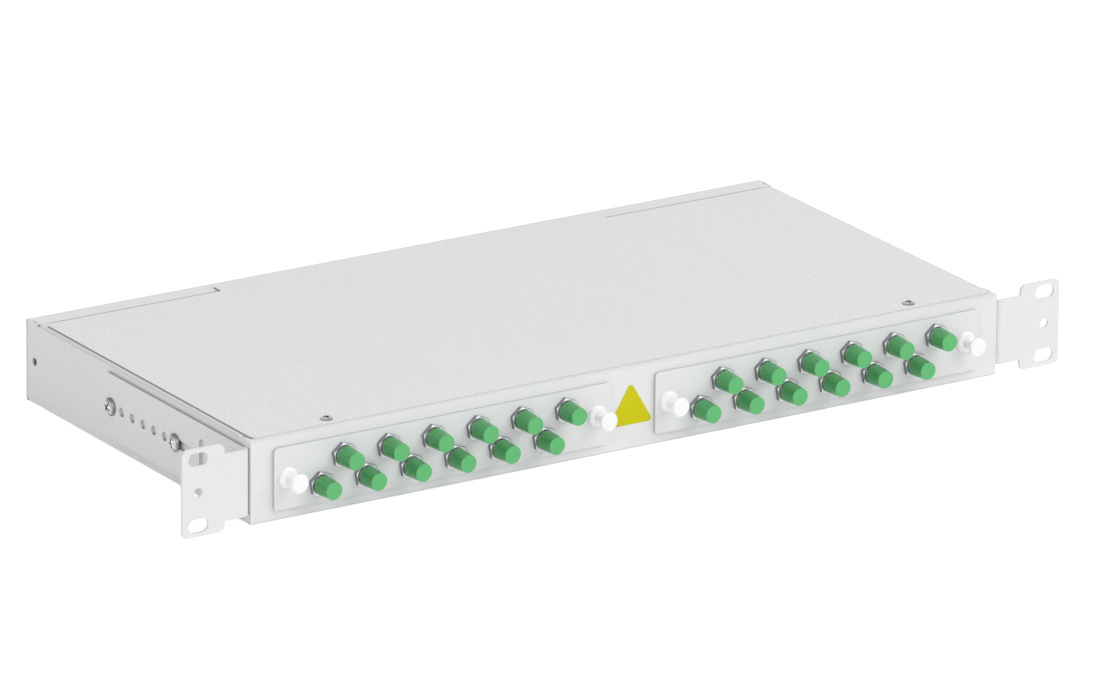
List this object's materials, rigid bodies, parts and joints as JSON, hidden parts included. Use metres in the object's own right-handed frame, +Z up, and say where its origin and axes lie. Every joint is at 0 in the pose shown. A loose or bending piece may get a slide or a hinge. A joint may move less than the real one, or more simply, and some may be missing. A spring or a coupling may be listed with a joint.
{
  "type": "fibre patch panel",
  "caption": "Low folded-steel fibre patch panel for a rack, with ear brackets, round screw-on adapters under dust caps on two latched plates, and a splice tray inside.",
  "frame": {"origin": "middle of the four rack slots, on the plane where the ears touch the rack rails", "axes": "+X to the right seen from the front, +Y to the back of the rack, +Z up"},
  "size_m": [0.482, 0.2349, 0.0426],
  "materials": {
    "powder_coat": "satin powder coat",
    "zinc_screws": "zinc plated",
    "nickel_brass": "nickel plated brass",
    "ceramic": "white ceramic",
    "green_caps": "moulded plastic",
    "white_nylon": "moulded nylon",
    "tray_plastic": "moulded plastic",
    "clear_lid": "clear plastic",
    "holder_rubber": "soft rubber",
    "black_plastic": "moulded plastic",
    "black_rubber": "rubber",
    "earth_brass": "brass"
  },
  "bodies": {
    "housing": {"chassis_tray": "powder_coat", "cover_nuts": "zinc_screws", "bracket_left": "powder_coat", "bracket_right": "powder_coat", "bracket_screws": "zinc_screws", "bracket_nuts": "zinc_screws", "splice_tray": "tray_plastic", "splice_holders": "holder_rubber", "tray_studs": "zinc_screws", "tray_nuts": "black_plastic", "bend_limiters": "black_plastic", "cable_grommets": "black_rubber", "cable_clamps": "black_plastic", "clamp_screws": "zinc_screws", "earth_stud": "earth_brass", "earth_nut": "earth_brass"},
    "cover": {"top_cover": "powder_coat", "cover_screws": "zinc_screws"},
    "splice_lid": {"splice_tray_lid": "clear_lid"},
    "plate_left": {"adapter_plate_left": "powder_coat", "adapters_left": "nickel_brass", "adapter_nuts_left": "nickel_brass", "alignment_sleeves_left": "ceramic", "rear_caps_left": "green_caps", "latch_grommets_left": "white_nylon"},
    "plunger_left_outer": {"latch_plunger_left_outer": "white_nylon"},
    "plunger_left_inner": {"latch_plunger_left_inner": "white_nylon"},
    "cap_01": {"dust_cap_01": "green_caps"},
    "cap_02": {"dust_cap_02": "green_caps"},
    "cap_03": {"dust_cap_03": "green_caps"},
    "cap_04": {"dust_cap_04": "green_caps"},
    "cap_05": {"dust_cap_05": "green_caps"},
    "cap_06": {"dust_cap_06": "green_caps"},
    "cap_07": {"dust_cap_07": "green_caps"},
    "cap_08": {"dust_cap_08": "green_caps"},
    "cap_09": {"dust_cap_09": "green_caps"},
    "cap_10": {"dust_cap_10": "green_caps"},
    "cap_11": {"dust_cap_11": "green_caps"},
    "cap_12": {"dust_cap_12": "green_caps"},
    "plate_right": {"adapter_plate_right": "powder_coat", "adapters_right": "nickel_brass", "adapter_nuts_right": "nickel_brass", "alignment_sleeves_right": "ceramic", "rear_caps_right": "green_caps", "latch_grommets_right": "white_nylon"},
    "plunger_right_outer": {"latch_plunger_right_outer": "white_nylon"},
    "plunger_right_inner": {"latch_plunger_right_inner": "white_nylon"},
    "cap_13": {"dust_cap_13": "green_caps"},
    "cap_14": {"dust_cap_14": "green_caps"},
    "cap_15": {"dust_cap_15": "green_caps"},
    "cap_16": {"dust_cap_16": "green_caps"},
    "cap_17": {"dust_cap_17": "green_caps"},
    "cap_18": {"dust_cap_18": "green_caps"},
    "cap_19": {"dust_cap_19": "green_caps"},
    "cap_20": {"dust_cap_20": "green_caps"},
    "cap_21": {"dust_cap_21": "green_caps"},
    "cap_22": {"dust_cap_22": "green_caps"},
    "cap_23": {"dust_cap_23": "green_caps"},
    "cap_24": {"dust_cap_24": "green_caps"}
  },
  "joints": [
    {"name": "cover_lift", "type": "slide", "parent": "housing", "child": "cover", "axis": [0, 0, 1], "range_m": [0, 0.05]},
    {"name": "splice_lid_lift", "type": "slide", "parent": "housing", "child": "splice_lid", "axis": [0, 0, 1], "range_m": [0, 0.02]},
    {"name": "plate_left_pull", "type": "slide", "parent": "housing", "child": "plate_left", "axis": [0, -1, 0], "range_m": [0, 0.03]},
    {"name": "plunger_left_outer_pull", "type": "slide", "parent": "plate_left", "child": "plunger_left_outer", "axis": [0, -1, 0], "range_m": [0, 0.0045]},
    {"name": "plunger_left_inner_pull", "type": "slide", "parent": "plate_left", "child": "plunger_left_inner", "axis": [0, -1, 0], "range_m": [0, 0.0045]},
    {"name": "cap_01_pull", "type": "slide", "parent": "plate_left", "child": "cap_01", "axis": [0, -1, 0], "range_m": [0, 0.012]},
    {"name": "cap_02_pull", "type": "slide", "parent": "plate_left", "child": "cap_02", "axis": [0, -1, 0], "range_m": [0, 0.012]},
    {"name": "cap_03_pull", "type": "slide", "parent": "plate_left", "child": "cap_03", "axis": [0, -1, 0], "range_m": [0, 0.012]},
    {"name": "cap_04_pull", "type": "slide", "parent": "plate_left", "child": "cap_04", "axis": [0, -1, 0], "range_m": [0, 0.012]},
    {"name": "cap_05_pull", "type": "slide", "parent": "plate_left", "child": "cap_05", "axis": [0, -1, 0], "range_m": [0, 0.012]},
    {"name": "cap_06_pull", "type": "slide", "parent": "plate_left", "child": "cap_06", "axis": [0, -1, 0], "range_m": [0, 0.012]},
    {"name": "cap_07_pull", "type": "slide", "parent": "plate_left", "child": "cap_07", "axis": [0, -1, 0], "range_m": [0, 0.012]},
    {"name": "cap_08_pull", "type": "slide", "parent": "plate_left", "child": "cap_08", "axis": [0, -1, 0], "range_m": [0, 0.012]},
    {"name": "cap_09_pull", "type": "slide", "parent": "plate_left", "child": "cap_09", "axis": [0, -1, 0], "range_m": [0, 0.012]},
    {"name": "cap_10_pull", "type": "slide", "parent": "plate_left", "child": "cap_10", "axis": [0, -1, 0], "range_m": [0, 0.012]},
    {"name": "cap_11_pull", "type": "slide", "parent": "plate_left", "child": "cap_11", "axis": [0, -1, 0], "range_m": [0, 0.012]},
    {"name": "cap_12_pull", "type": "slide", "parent": "plate_left", "child": "cap_12", "axis": [0, -1, 0], "range_m": [0, 0.012]},
    {"name": "plate_right_pull", "type": "slide", "parent": "housing", "child": "plate_right", "axis": [0, -1, 0], "range_m": [0, 0.03]},
    {"name": "plunger_right_outer_pull", "type": "slide", "parent": "plate_right", "child": "plunger_right_outer", "axis": [0, -1, 0], "range_m": [0, 0.0045]},
    {"name": "plunger_right_inner_pull", "type": "slide", "parent": "plate_right", "child": "plunger_right_inner", "axis": [0, -1, 0], "range_m": [0, 0.0045]},
    {"name": "cap_13_pull", "type": "slide", "parent": "plate_right", "child": "cap_13", "axis": [0, -1, 0], "range_m": [0, 0.012]},
    {"name": "cap_14_pull", "type": "slide", "parent": "plate_right", "child": "cap_14", "axis": [0, -1, 0], "range_m": [0, 0.012]},
    {"name": "cap_15_pull", "type": "slide", "parent": "plate_right", "child": "cap_15", "axis": [0, -1, 0], "range_m": [0, 0.012]},
    {"name": "cap_16_pull", "type": "slide", "parent": "plate_right", "child": "cap_16", "axis": [0, -1, 0], "range_m": [0, 0.012]},
    {"name": "cap_17_pull", "type": "slide", "parent": "plate_right", "child": "cap_17", "axis": [0, -1, 0], "range_m": [0, 0.012]},
    {"name": "cap_18_pull", "type": "slide", "parent": "plate_right", "child": "cap_18", "axis": [0, -1, 0], "range_m": [0, 0.012]},
    {"name": "cap_19_pull", "type": "slide", "parent": "plate_right", "child": "cap_19", "axis": [0, -1, 0], "range_m": [0, 0.012]},
    {"name": "cap_20_pull", "type": "slide", "parent": "plate_right", "child": "cap_20", "axis": [0, -1, 0], "range_m": [0, 0.012]},
    {"name": "cap_21_pull", "type": "slide", "parent": "plate_right", "child": "cap_21", "axis": [0, -1, 0], "range_m": [0, 0.012]},
    {"name": "cap_22_pull", "type": "slide", "parent": "plate_right", "child": "cap_22", "axis": [0, -1, 0], "range_m": [0, 0.012]},
    {"name": "cap_23_pull", "type": "slide", "parent": "plate_right", "child": "cap_23", "axis": [0, -1, 0], "range_m": [0, 0.012]},
    {"name": "cap_24_pull", "type": "slide", "parent": "plate_right", "child": "cap_24", "axis": [0, -1, 0], "range_m": [0, 0.012]}
  ]
}
